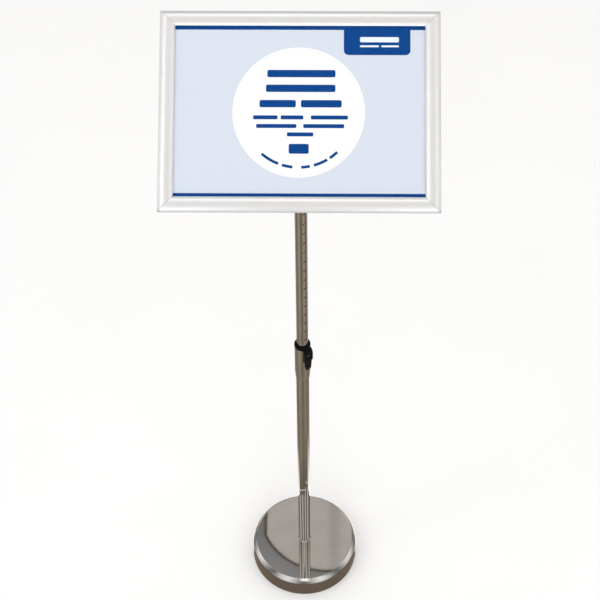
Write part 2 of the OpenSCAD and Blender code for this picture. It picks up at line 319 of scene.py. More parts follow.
def block(axes: Axes, low: tuple[float, float, float], high: tuple[float, float, float]) -> np.ndarray:
    """Grid of a box's four long sides, for Surface.shell with caps.

    Args:
        axes: the local frame.
        low: lowest corner in millimetres.
        high: highest corner.

    Returns:
        Points of shape (2, 4, 3) in metres.
    """
    (x0, y0, z0), (x1, y1, z1) = low, high
    ring = np.array([[x0, y0], [x1, y0], [x1, y1], [x0, y1]], float)
    return axes.place(np.stack([np.c_[ring, np.full(4, z0)], np.c_[ring, np.full(4, z1)]]))


def carved(piece: bpy.types.Object, cutter: bpy.types.Object, sharp: float = 35.0) -> bpy.types.Object:
    """Cuts one closed mesh out of another and removes the cutter.

    Args:
        piece: the object that keeps its name and place.
        cutter: the object that is cut away.
        sharp: angle in degrees past which an edge stays sharp.

    Returns:
        The cut object.
    """
    cut = piece.modifiers.new("cut", "BOOLEAN")
    cut.operation, cut.solver, cut.object = "DIFFERENCE", "EXACT", cutter
    graph = bpy.context.evaluated_depsgraph_get()
    mesh = bpy.data.meshes.new_from_object(piece.evaluated_get(graph))
    piece.modifiers.clear()
    piece.data = mesh
    bpy.data.objects.remove(cutter)
    shaded(mesh, sharp)
    return piece


def softened(node: str, name: str, edge: float, sharp: float = 30.0) -> bpy.types.Object:
    """Copies a CAD node's mesh, merges it and rounds its edges, to stand for the node.

    Args:
        node: the CAD node.
        name: the new object's name.
        edge: width of the rounded edges in millimetres.
        sharp: angle in degrees past which an edge is rounded or stays sharp.

    Returns:
        The object.
    """
    mesh = frame["nodes"][node].data.copy()
    mesh.materials.clear()
    shape = bmesh.new()
    shape.from_mesh(mesh)
    bmesh.ops.remove_doubles(shape, verts=shape.verts, dist=2e-6)
    bmesh.ops.dissolve_limit(shape, angle_limit=math.radians(0.5), verts=shape.verts, edges=shape.edges)
    bmesh.ops.recalc_face_normals(shape, faces=shape.faces)
    shape.to_mesh(mesh)
    shape.free()
    piece = to_piece(mesh, name, sharp)
    if edge > 0:
        bevel = piece.modifiers.new("edges", "BEVEL")
        bevel.width, bevel.segments, bevel.limit_method = edge * MM, 2, "ANGLE"
        bevel.angle_limit = math.radians(sharp)
        bevel.harden_normals = True
        bevel.use_clamp_overlap = True
    return piece


# ---------- finishes ----------


class Slot(Enum):
    """Material slots of the record, one named for each finish of the new pieces."""

    STEEL = "polished_steel"
    IRON = "cast_iron"
    ZINC = "zinc_plated_steel"
    PLASTIC = "black_plastic"
    PAINT = "black_painted_steel"
    ALUMINIUM = "anodised_aluminium"
    PAPER = "printed_paper"
    FILM = "clear_film"


class Field:
    """A number that varies over a surface, with arithmetic that adds Math nodes to a recipe."""

    def __init__(self, recipe: "Recipe", socket: bpy.types.NodeSocket) -> None:
        """Wraps an output socket of the recipe's tree."""
        self.recipe, self.socket = recipe, socket

    def _with(self, kind: str, *others: "Field | float") -> "Field":
        """A Math node of that kind on this field and the others.

        Args:
            kind: the node's operation.
            others: its further inputs.

        Returns:
            The result.
        """
        node = self.recipe.tree.nodes.new("ShaderNodeMath")
        node.operation = kind
        for place, value in enumerate((self, *others)):
            self.recipe.feed(node.inputs[place], value)
        return Field(self.recipe, node.outputs[0])

    def __add__(self, other: "Field | float") -> "Field":
        """Sum."""
        return self._with("ADD", other)

    def __sub__(self, other: "Field | float") -> "Field":
        """Difference."""
        return self._with("SUBTRACT", other)

    def __mul__(self, other: "Field | float") -> "Field":
        """Product."""
        return self._with("MULTIPLY", other)

    def size(self) -> "Field":
        """Distance from zero."""
        return self._with("ABSOLUTE")

    def at_least(self, other: "Field | float") -> "Field":
        """The larger of the two."""
        return self._with("MAXIMUM", other)

    def at_most(self, other: "Field | float") -> "Field":
        """The smaller of the two."""
        return self._with("MINIMUM", other)

    def root(self) -> "Field":
        """Square root."""
        return self._with("SQRT")

    def turn_to(self, other: "Field") -> "Field":
        """Angle of the point (other, self)."""
        return self._with("ARCTAN2", other)

    def share_of_turn(self, other: "Field") -> "Field":
        """Direction of the place (self, other) as a share of a turn: 0.5 at -Y, 0.75 at +X, 1 at +Y."""
        return self.turn_to(other * -1.0) * (1 / (2 * math.pi)) + 0.5

    def inside(self, edge: float = 0.25) -> "Field":
        """1 where this distance is below zero and 0 where it is above, with a soft step of that width."""
        return (self * (-1.0 / edge) + 0.5).at_least(0.0).at_most(1.0)


class Recipe:
    """The node tree of one material, built up step by step."""

    def __init__(self, name: str) -> None:
        """Starts a material with one Principled shader.

        Args:
            name: the material's name.
        """
        self.material = bpy.data.materials.new(name)
        self.material.use_nodes = True
        self.tree = self.material.node_tree
        self.tree.nodes.clear()
        self.shader = self.tree.nodes.new("ShaderNodeBsdfPrincipled")
        out = self.tree.nodes.new("ShaderNodeOutputMaterial")
        self.tree.links.new(self.shader.outputs[0], out.inputs["Surface"])

    def feed(self, socket: bpy.types.NodeSocket, value: object) -> None:
        """Sets a socket to a constant, or links it to a field or socket.

        Args:
            socket: the input socket.
            value: number, colour, Field or output socket.
        """
        if isinstance(value, Field):
            value = value.socket
        if isinstance(value, bpy.types.NodeSocket):
            self.tree.links.new(value, socket)
        else:
            socket.default_value = value

    def set(self, **values: object) -> "Recipe":
        """Sets sockets of the shader, named with underscores for spaces.

        Args:
            values: socket names and their values.

        Returns:
            This recipe.
        """
        for name, value in values.items():
            self.feed(self.shader.inputs[name.replace("_", " ").title().replace("Ior", "IOR")], value)
        return self

    def coordinates(self, kind: str, scale: tuple[float, float, float] = (1, 1, 1)) -> bpy.types.NodeSocket:
        """Coordinates of the surface through a Mapping node.

        Args:
            kind: "Object" or "UV".
            scale: stretch along each axis.

        Returns:
            The vector socket.
        """
        source = self.tree.nodes.new("ShaderNodeTexCoord")
        mapping = self.tree.nodes.new("ShaderNodeMapping")
        mapping.inputs["Scale"].default_value = scale
        self.tree.links.new(source.outputs[kind], mapping.inputs["Vector"])
        return mapping.outputs[0]

    def places(self, kind: str,
               scale: tuple[float, float, float] = (1, 1, 1)) -> tuple[Field, Field, Field]:
        """Coordinates of the surface as three fields.

        Args:
            kind: "Object" or "UV".
            scale: stretch along each axis.

        Returns:
            The x, y and z fields.
        """
        split = self.tree.nodes.new("ShaderNodeSeparateXYZ")
        self.feed(split.inputs[0], self.coordinates(kind, scale))
        return tuple(Field(self, output) for output in split.outputs)

    def noise(self, vector: bpy.types.NodeSocket, scale: float, detail: float = 3,
              rough: float = 0.55) -> Field:
        """Smooth random pattern.

        Args:
            vector: coordinates.
            scale: features per metre.
            detail: number of finer layers.
            rough: strength of the finer layers.

        Returns:
            The pattern, mostly between 0.3 and 0.7.
        """
        node = self.tree.nodes.new("ShaderNodeTexNoise")
        self.feed(node.inputs["Vector"], vector)
        node.inputs["Scale"].default_value = scale
        node.inputs["Detail"].default_value = detail
        node.inputs["Roughness"].default_value = rough
        return Field(self, node.outputs[0])

    def cells(self, vector: bpy.types.NodeSocket, scale: float) -> Field:
        """Distance to the nearest of scattered points.

        Args:
            vector: coordinates.
            scale: points per metre.

        Returns:
            The distance pattern.
        """
        node = self.tree.nodes.new("ShaderNodeTexVoronoi")
        self.feed(node.inputs["Vector"], vector)
        node.inputs["Scale"].default_value = scale
        return Field(self, node.outputs["Distance"])

    def between(self, value: Field, low: float, high: float, start: float = 0.3, end: float = 0.7) -> Field:
        """Stretches a field: start goes to low and end to high, held outside.

        Args:
            value: the field.
            low: result at start.
            high: result at end.
            start: input that gives low.
            end: input that gives high.

        Returns:
            The stretched field.
        """
        node = self.tree.nodes.new("ShaderNodeMapRange")
        self.feed(node.inputs["Value"], value)
        for name, number in (("From Min", start), ("From Max", end), ("To Min", low), ("To Max", high)):
            node.inputs[name].default_value = number
        return Field(self, node.outputs[0])

    def tint(self, value: Field, low: tuple[float, ...], high: tuple[float, ...]) -> bpy.types.NodeSocket:
        """Colour that goes from low to high as a field goes from 0 to 1.

        Args:
            value: the field.
            low: colour at 0, or an output socket.
            high: colour at 1, or an output socket.

        Returns:
            The colour socket.
        """
        node = self.tree.nodes.new("ShaderNodeMix")
        node.data_type = "RGBA"
        self.feed(node.inputs["Factor"], value)
        self.feed(node.inputs[MIX_A], paint(low))
        self.feed(node.inputs[MIX_B], paint(high))
        return node.outputs[MIX_RESULT]

    def bump(self, height: Field, strength: float, depth: float) -> "Recipe":
        """Gives the shader a relief.

        Args:
            height: the relief's height field.
            strength: share of the relief that shows.
            depth: height of the relief in metres.

        Returns:
            This recipe.
        """
        node = self.tree.nodes.new("ShaderNodeBump")
        node.inputs["Strength"].default_value = strength
        node.inputs["Distance"].default_value = depth
        self.feed(node.inputs["Height"], height)
        self.tree.links.new(node.outputs[0], self.shader.inputs["Normal"])
        return self


def paint(colour: object) -> object:
    """A colour with alpha, or a socket left as it is.

    Args:
        colour: three linear values, or an output socket.

    Returns:
        Four values, or the socket.
    """
    return colour if isinstance(colour, bpy.types.NodeSocket) else (*colour, 1.0)


@dataclass(frozen=True)
class PolishedMetal:
    """Bright metal with a faint haze, wiping marks and slow changes of tone. Closer to the Z axis than
    inner, its colour is darkened: painted shade in the notches of the tube, which also stands for their
    bare cut metal.
    """

    name: str
    dark: tuple[float, float, float]
    light: tuple[float, float, float]
    smooth: float
    rough: float
    ripple: float = 0.02
    # inner: radius in millimetres inside which the colour is darkened, painted shade in the notches
    inner: float = 0.0

    def make(self) -> bpy.types.Material:
        """Builds the material, with its pattern on Object coordinates, and painted shade inside the inner
        radius.

        Returns:
            The material.
        """
        recipe = Recipe(self.name)
        place = recipe.coordinates("Object")
        slow = recipe.noise(place, 22, 2)
        wiped = recipe.noise(recipe.coordinates("Object", (1, 1, 0.12)), 240, 4)
        fine = recipe.noise(recipe.coordinates("Object", (1, 1, 0.04)), 1500, 2)
        x, y, _ = recipe.places("Object", (1 / MM, 1 / MM, 1))
        # painted shade: inside the inner radius the colour drops to a quarter of the dark tone, darkening
        # the notch faces and tube ends
        cut = ((x * x + y * y).root() - self.inner).inside(0.3)
        colour = recipe.tint(recipe.between(slow, 0, 1), self.dark, self.light)
        recipe.set(base_color=recipe.tint(cut, colour, tuple(v * 0.25 for v in self.dark)), metallic=1.0,
                   roughness=recipe.between(wiped, self.smooth, self.rough))
        return recipe.bump(fine, self.ripple, 0.00005).material


@dataclass(frozen=True)
class SatinAluminium:
    """Anodised aluminium with fine drawn lines along its length."""

    name: str
    along_flat: bool
    tone: float = 0.76

    def make(self) -> bpy.types.Material:
        """Builds the material, on the piece's own flat coordinates or on Object coordinates.

        Returns:
            The material.
        """
        recipe = Recipe(self.name)
        kind = "UV" if self.along_flat else "Object"
        lines = recipe.noise(recipe.coordinates(kind, (0.02, 1, 1)), 2600, 3, 0.7)
        cloud = recipe.noise(recipe.coordinates(kind), 35, 3)
        warm = (self.tone, self.tone * 0.99, self.tone * 0.98)
        cool = tuple(0.93 * v for v in warm)
        shade = recipe.between(lines * 0.6 + cloud * 0.4, 0, 1)
        recipe.set(base_color=recipe.tint(shade, cool, warm), metallic=0.75,
                   roughness=recipe.between(lines, 0.38, 0.48))
        return recipe.bump(lines, 0.08, 0.00004).material


@dataclass(frozen=True)
class Coating:
    """Paint or moulded plastic: a pebbled or nearly smooth skin with slight changes of gloss."""

    name: str
    dark: tuple[float, float, float]
    light: tuple[float, float, float]
    gloss: tuple[float, float]
    grain: float
    relief: float
    shine: float = 0.5

    def make(self) -> bpy.types.Material:
        """Builds the material, with its pattern on Object coordinates.

        Returns:
            The material.
        """
        recipe = Recipe(self.name)
        place = recipe.coordinates("Object")
        pebbles = recipe.noise(place, self.grain, 3, 0.6)
        cloud = recipe.noise(place, 60, 3)
        recipe.set(base_color=recipe.tint(recipe.between(cloud, 0, 1), self.dark, self.light),
                   specular_ior_level=self.shine, roughness=recipe.between(pebbles, *self.gloss))
        return recipe.bump(pebbles, 0.35, self.relief * MM).material


@dataclass(frozen=True)
class PorousPad:
    """Closed-cell foam with small open pores, their colour darkened as painted shade."""

    name: str

    def make(self) -> bpy.types.Material:
        """Builds the material, with its pores on Object coordinates and painted shade in them.

        Returns:
            The material.
        """
        recipe = Recipe(self.name)
        place = recipe.coordinates("Object")
        pores = recipe.cells(place, 900)
        # painted shade: colour darkest at the pore centres, where the bump sinks the surface
        colour = recipe.tint(recipe.between(pores, 0, 1, 0.0, 0.6), (0.008,) * 3, (0.035,) * 3)
        recipe.set(base_color=colour, roughness=0.9)
        return recipe.bump(pores, 0.6, 0.0003).material


@dataclass(frozen=True)
class PressedBoard:
    """White-faced fibre board, with short fibres in its face."""

    name: str

    def make(self) -> bpy.types.Material:
        """Builds the material, with fibres on Object coordinates.

        Returns:
            The material.
        """
        recipe = Recipe(self.name)
        fibres = recipe.noise(recipe.coordinates("Object", (1, 0.3, 1)), 700, 4, 0.7)
        colour = recipe.tint(recipe.between(fibres, 0, 1), (0.66, 0.65, 0.62), (0.8, 0.79, 0.77))
        recipe.set(base_color=colour, roughness=recipe.between(fibres, 0.55, 0.75))
        return recipe.bump(fibres, 0.25, 0.0001).material


@dataclass(frozen=True)
class ClearFilm:
    """Thin anti-glare film: nearly all see-through, with a soft haze that varies a little."""

    name: str
    haze: float = 0.004

    def make(self) -> bpy.types.Material:
        """Builds the material; the haze is a constant on the shader and its gloss varies.

        Returns:
            The material.
        """
        recipe = Recipe(self.name)
        waves = recipe.noise(recipe.coordinates("UV"), 14, 2)
        recipe.set(base_color=paint((0.8, 0.84, 0.9)), alpha=self.haze,
                   roughness=recipe.between(waves, 0.18, 0.32))
        return recipe.bump(waves, 0.15, 0.0006).material


@dataclass(frozen=True)
class Bar:
    """One rounded dash of the printed sheet, in millimetres from the sheet's middle."""

    left: float
    right: float
    low: float
    high: float
    round: float = 1.6

    def distance(self, x: Field, y: Field) -> Field:
        """Distance to a dash with round corners: how far the point lies past a core that is smaller than
        the dash by the corners' radius, less that radius.

        Args:
            x: place across the sheet in millimetres.
            y: place up the sheet.

        Returns:
            The distance, negative inside.
        """
        over = (x - (self.left + self.right) / 2).size() - ((self.right - self.left) / 2 - self.round)
        up = (y - (self.low + self.high) / 2).size() - ((self.high - self.low) / 2 - self.round)
        over, up = over.at_least(0.0), up.at_least(0.0)
        return (over * over + up * up).root() - self.round


@dataclass(frozen=True)
class PrintedSheet:
    """Blue and white print: two edge bands, a tab, a white disc, and dashes in place of wording."""

    name: str
    ground: tuple[float, float, float] = (0.66, 0.715, 0.80)
    ink: tuple[float, float, float] = (0.0002, 0.054, 0.25)
    white: tuple[float, float, float] = (0.93, 0.93, 0.93)
    ring: tuple[float, float, float] = (0.70, 0.72, 0.74)
    view_high: float = 138.5
    disc_middle: tuple[float, float] = (-1.5, -2.0)
    disc_radius: float = 105.5
    ring_radius: float = 102.0
    band: float = 6.0
    tab: tuple[float, float, float, float] = (70.0, 176.5, 91.5, 160.0)
    tab_round: float = 8.0
    bold: tuple[Bar, ...] = (
        Bar(-52, 57, 55, 67, 3), Bar(-54, 57, 31, 43, 3), Bar(-64, -6, 6, 18, 3), Bar(2, 67, 6, 18, 3),
        Bar(-17, 15, -69, -53, 3),
    )
    fine: tuple[Bar, ...] = (
        Bar(-74, -35, -13.5, -7), Bar(-30, 6, -13.5, -7), Bar(18, 77, -13.5, -7),
        Bar(-69, -5, -27.5, -21), Bar(6, 71, -27.5, -21), Bar(-20, 22, -41, -34.5),
    )
    foot_radius: float = 89.0
    foot_high: float = 4.6
    foot_spans: tuple[tuple[float, float], ...] = (
        (-131, -111), (-107, -96), (-87, -78), (-74, -59), (-56, -46))
    tab_bars: tuple[Bar, ...] = (
        Bar(96, 158, 112.5, 121, 2), Bar(96, 126, 104.5, 107.5, 1), Bar(130, 158, 104.5, 107.5, 1))

    def together(self, distances: list[Field]) -> Field:
        """The smallest of several distances.

        Args:
            distances: distances to several shapes.

        Returns:
            Distance to the nearest of them.
        """
        result = distances[0]
        for other in distances[1:]:
            result = result.at_most(other)
        return result

    def make(self) -> bpy.types.Material:
        """Builds the print from distance fields on the sheet's flat coordinates, in millimetres.

        Returns:
            The material.
        """
        recipe = Recipe(self.name)
        x, y, _ = recipe.places("UV", (1 / MM, 1 / MM, 1))
        dx, dy = x - self.disc_middle[0], y - self.disc_middle[1]
        reach = (dx * dx + dy * dy).root()
        edge = self.view_high - self.band
        colour = recipe.tint((reach - self.disc_radius).inside(), self.ground, self.white)
        ring = (reach - self.ring_radius).size() - 0.3
        colour = recipe.tint(ring.inside(0.5), colour, self.ring)
        left, right, low, high = self.tab
        across = (x - (left + right) / 2).size() - ((right - left) / 2 - self.tab_round)
        up = (y - (low + high) / 2).size() - ((high - low) / 2 - self.tab_round)
        across, up = across.at_least(0.0), up.at_least(0.0)
        tab = (across * across + up * up).root() - self.tab_round
        colour = recipe.tint(((y + (edge + 1.2)).size() - 0.7).inside(), colour, self.white)
        inked = (y * -1.0 + edge).at_most(tab).at_most(y + edge + 0.4)
        colour = recipe.tint(inked.inside(), colour, self.ink)
        words = self.together([bar.distance(x, y) for bar in (*self.bold, *self.fine)])
        angle = dy.turn_to(dx) * (180 / math.pi)
        shell = (reach - self.foot_radius).size() - self.foot_high / 2
        spans = self.together([(angle - (a + b) / 2).size() - (b - a) / 2 for a, b in self.foot_spans])
        colour = recipe.tint(words.at_most(shell.at_least(spans * 1.5)).inside(), colour, self.ink)
        marks = self.together([bar.distance(x, y) for bar in self.tab_bars])
        colour = recipe.tint(marks.inside(), colour, (0.82, 0.88, 0.94))
        fibre = recipe.noise(recipe.coordinates("UV"), 900, 3, 0.6)
        shade = recipe.between(fibre, 0.965, 1.0)
        mixed = recipe.tree.nodes.new("ShaderNodeMix")
        mixed.data_type, mixed.blend_type = "RGBA", "MULTIPLY"
        mixed.inputs[0].default_value = 1.0
        recipe.feed(mixed.inputs[MIX_A], colour)
        recipe.feed(mixed.inputs[MIX_B], shade)
        recipe.set(base_color=mixed.outputs[MIX_RESULT], roughness=recipe.between(fibre, 0.5, 0.62),
                   specular_ior_level=0.02)
        return recipe.bump(fibre, 0.1, 0.00003).material


@dataclass(frozen=True)
class Palette:
    """The finishes that the stand uses, made once."""

    steel: bpy.types.Material = field(default_factory=PolishedMetal(
        "mirror_steel", (0.45, 0.412, 0.378), (0.49, 0.452, 0.418), 0.014, 0.03, 0.01).make)
    # notched steel: its last number, 10.8 mm, darkens the notch faces as painted shade
    notched: bpy.types.Material = field(default_factory=PolishedMetal(
        "notched_steel", (0.45, 0.412, 0.378), (0.49, 0.452, 0.418), 0.02, 0.045, 0.01, 10.8).make)
    zinc: bpy.types.Material = field(default_factory=PolishedMetal(
        "zinc_plate", (0.46, 0.47, 0.48), (0.66, 0.66, 0.64), 0.26, 0.40, 0.1).make)
    spring: bpy.types.Material = field(default_factory=PolishedMetal(
        "spring_leaf", (0.20, 0.20, 0.22), (0.34, 0.34, 0.36), 0.22, 0.36, 0.1).make)
    satin: bpy.types.Material = field(default_factory=SatinAluminium("satin_rails", True).make)
    satin_back: bpy.types.Material = field(default_factory=SatinAluminium(
        "satin_sections", False, 0.72).make)
    iron: bpy.types.Material = field(default_factory=Coating(
        "rough_iron", (0.035, 0.034, 0.033), (0.07, 0.068, 0.066), (0.6, 0.8), 900, 0.25).make)
    plastic: bpy.types.Material = field(default_factory=Coating(
        "moulded_black", (0.003, 0.003, 0.0035), (0.006, 0.006, 0.0065), (0.13, 0.22), 1600, 0.012,
        0.05).make)
    paint: bpy.types.Material = field(default_factory=Coating(
        "black_paint", (0.014, 0.014, 0.015), (0.026, 0.026, 0.027), (0.34, 0.5), 1400, 0.05).make)
    nylon: bpy.types.Material = field(default_factory=Coating(
        "cream_nylon", (0.70, 0.68, 0.62), (0.80, 0.78, 0.73), (0.4, 0.55), 1200, 0.02).make)
    foam: bpy.types.Material = field(default_factory=PorousPad("floor_foam").make)
    board: bpy.types.Material = field(default_factory=PressedBoard("faced_board").make)
    film: bpy.types.Material = field(default_factory=ClearFilm("clear_cover").make)
    print: bpy.types.Material = field(default_factory=PrintedSheet("printed_sheet").make)


def dress(piece: bpy.types.Object, finish: bpy.types.Material, body: str, slot: Slot, *nodes: str) -> None:
    """Gives a new piece its finish and its body, hides the CAD nodes it stands for, and reports it.

    Args:
        piece: the new piece.
        finish: its material.
        body: the CAD body it moves with.
        slot: the record's material slot; not used.
        nodes: the CAD nodes it replaces.
    """
    piece.data.materials.clear()
    piece.data.materials.append(finish)
    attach(piece, body)
    if nodes:
        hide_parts(*nodes)
    LOG.info("%s rides on %s, %d faces", piece.name, body, len(piece.data.polygons))


def dress_copy(node: str, ending: str, edge: float, finish: bpy.types.Material, body: str,
               slot: Slot) -> None:
    """Makes a softened copy of a CAD node, dresses it and lets it stand for the node.

    Args:
        node: the CAD node.
        ending: what the new piece's name adds to the node's.
        edge: width of the rounded edges in millimetres.
        finish: its material.
        body: the CAD body it moves with.
        slot: the record's material slot.
    """
    dress(softened(node, node + ending, edge), finish, body, slot, node)


def finish_nodes(finish: bpy.types.Material, *nodes: str) -> None:
    """Gives CAD nodes that keep their own shape a finish, and reports them.

    Args:
        finish: the material.
        nodes: the nodes' names.
    """
    for name in nodes:
        mesh = frame["nodes"][name].data
        mesh.materials.clear()
        mesh.materials.append(finish)
        LOG.info("%s keeps its shape, in %s", name, finish.name)


# ---------- sub-assemblies ----------


@dataclass
class Base:
    """Weighted round base: polished cover over a cast weight, on a plate and a foam pad."""

    flat_r: float = 106.0
    edge_wide: float = 9.0
    edge_tilt: float = 32.0
    wall: float = 1.2
    hole_r: float = 5.3
    trim_r: float = 1.6
    tube_r: float = 12.75

    def edge(self, top: float, inset: float) -> np.ndarray:
        """The cover's shoulder: an arc of radius R = width / (1 - sin tilt), with its middle R inside the
        upright side, from the flat, which it leaves with that tilt, to the upright.

        Args:
            top: height of the flat.
            inset: distance inside the cover's outer face.

        Returns:
            Points from the flat to the upright side.
        """
        tilt = math.radians(self.edge_tilt)
        r = self.edge_wide / (1 - math.sin(tilt))
        start = math.acos((r * math.cos(tilt) - inset) / (r - inset))
        t = np.linspace(start, math.pi / 2, 25)
        return np.stack([self.flat_r + self.edge_wide - r + (r - inset) * np.sin(t),
                         top - r * math.cos(tilt) + (r - inset) * np.cos(t)], 1)

    def cover(self) -> bpy.types.Object:
        """Turned cover: its outline goes from the centre hole over the flat and the round shoulder down
        the upright side, and back inside at the wall's thickness.

        Returns:
            The piece.
        """
        low, top = node_heights("base_cover")
        outer = self.flat_r + self.edge_wide
        foot = rounded([(outer, low + 3, 0), (outer, low, 0.4), (outer - self.wall, low, 0.4),
                        (outer - self.wall, low + 3, 0)], 4)
        outline = np.concatenate([
            [(self.hole_r, top), (60, top), (self.flat_r - 0.4, top)], self.edge(top, 0), foot,
            self.edge(top, self.wall)[::-1], [(self.hole_r, top - self.wall)]])
        return Surface("base_cover_polished").lathe(outline, 256).finish(20)

    def trim(self) -> bpy.types.Object:
        """Half-round ring at the foot of the tube: a quarter arc from the tube's wall to the flat.

        Returns:
            The piece.
        """
        low, _ = node_heights("foot_ring")
        outline = np.concatenate([
            arc((self.tube_r, low), self.trim_r, 90, 0, 12), [(self.tube_r, low)]])
        return Surface("foot_ring_polished").lathe(outline, 128).finish(50)

    def build(self, palette: Palette) -> None:
        """Makes and dresses the base.

        Args:
            palette: the finishes.
        """
        dress(self.cover(), palette.steel, "stand", Slot.STEEL, "base_cover")
        dress(self.trim(), palette.steel, "stand", Slot.STEEL, "foot_ring")
        dress_copy("cast_weight", "_rough", 0.8, palette.iron, "stand", Slot.IRON)
        for node, edge in (("foot_washer", 0.2), ("foot_bolt", 0.3), ("plate_screws", 0.3)):
            dress_copy(node, "_plated", edge, palette.zinc, "stand", Slot.ZINC)
        finish_nodes(palette.zinc, "base_plate", "foot_plug")
        finish_nodes(palette.foam, "floor_pad")


@dataclass
class Pole:
    """Lower tube, and the notched upper tube that slides in it."""

    outer_r: float = 12.7
    outer_bore: float = 11.6
    inner_r: float = 11.1
    inner_bore: float = 9.5
    notch_r: float = 2.3
    notch_deep: float = 1.1
    notch_step: float = 25.0
    notches: int = 25
    first_notch: float = 682.5
    tube_end: float = 0.3
    window: tuple[float, float, float, float] = (11.0, 9.0, 6.0, 729.5)
    window_from: float = 8.0

    def window_cutter(self) -> bpy.types.Object:
        """The opening for the pawl, as a block in the lever's frame.

        Returns:
            The piece.
        """
        wide, deep, high, low = self.window
        grid = block(AT_LEVER, (-wide / 2, -self.window_from - deep, low),
                     (wide / 2, -self.window_from, low + high))
        return Surface("window_cutter").shell(grid, (False, True), True).finish()

    def lower(self) -> bpy.types.Object:
        """Turned tube with slightly broken ends, and the pawl's window cut through its wall.

        Returns:
            The piece.
        """
        low, top = node_heights("lower_tube")
        outline = rounded([(self.outer_bore, low, self.tube_end), (self.outer_r, low, self.tube_end),
                           (self.outer_r, top, self.tube_end), (self.outer_bore, top, self.tube_end)], 4)
        return carved(Surface("lower_tube_polished").lathe(outline, 128).finish(), self.window_cutter())

    def upper(self) -> bpy.types.Object:
        """Turned tube whose radius at turn a and height z is min(R, (R - d(z)) / cos a), where a is
        measured from the notches' side and d(z) = depth - (r - sqrt(r^2 - (z - z_notch)^2)) in a notch.

        Returns:
            The piece.
        """
        low, top = node_heights("upper_tube")
        middles = self.first_notch + self.notch_step * np.arange(self.notches)
        half = math.sqrt(self.notch_r ** 2 - (self.notch_r - self.notch_deep) ** 2)
        local = half * np.sin(np.linspace(-np.pi / 2, np.pi / 2, 13))
        heights = (middles[:, None] + np.concatenate([[-half - 0.06], local, [half + 0.06]])).ravel()
        between = (middles[:-1, None] + self.notch_step * np.array([0.3, 0.5, 0.7])).ravel()
        z = np.unique(np.concatenate([[low + self.tube_end], heights, between, [top - self.tube_end]]))
        gap = np.abs(z[:, None] - middles).min(1)
        sunk = np.sqrt(np.maximum(self.notch_r ** 2 - gap ** 2, 0)) - (self.notch_r - self.notch_deep)
        deep = np.where(gap <= half + 1e-9, np.maximum(sunk, 0), 0)
        wide = math.degrees(math.acos(1 - self.notch_deep / self.inner_r))
        a = np.radians(np.concatenate([np.linspace(-wide - 1, wide + 1, 33),
                                       np.linspace(wide + 1, 359 - wide, 58)[1:-1]]))
        facing = np.where(np.cos(a) > 0.5, np.cos(a), 0.5)
        r = np.minimum(self.inner_r, (self.inner_r - deep[:, None]) / facing)
        flat_end = self.inner_r - self.tube_end
        rows_r = np.concatenate([[np.full(len(a), self.inner_bore)], [np.full(len(a), flat_end)], r,
                                 [np.full(len(a), flat_end)], [np.full(len(a), self.inner_bore)]])
        rows_z = np.concatenate([[low, low], z, [top, top]])[:, None]
        grid = np.stack([rows_r * np.sin(a), -rows_r * np.cos(a), rows_z + 0 * rows_r], 2)
        return Surface("upper_tube_notched").shell(AT_LEVER.place(grid), (True, True)).finish(28)

    def build(self, palette: Palette) -> None:
        """Makes and dresses the pole.

        Args:
            palette: the finishes.
        """
        dress(self.lower(), palette.steel, "stand", Slot.STEEL, "lower_tube")
        dress(self.upper(), palette.notched, "mast", Slot.STEEL, "upper_tube")
        finish_nodes(palette.plastic, "tube_glide")
        finish_nodes(palette.nylon, "guide_bush")


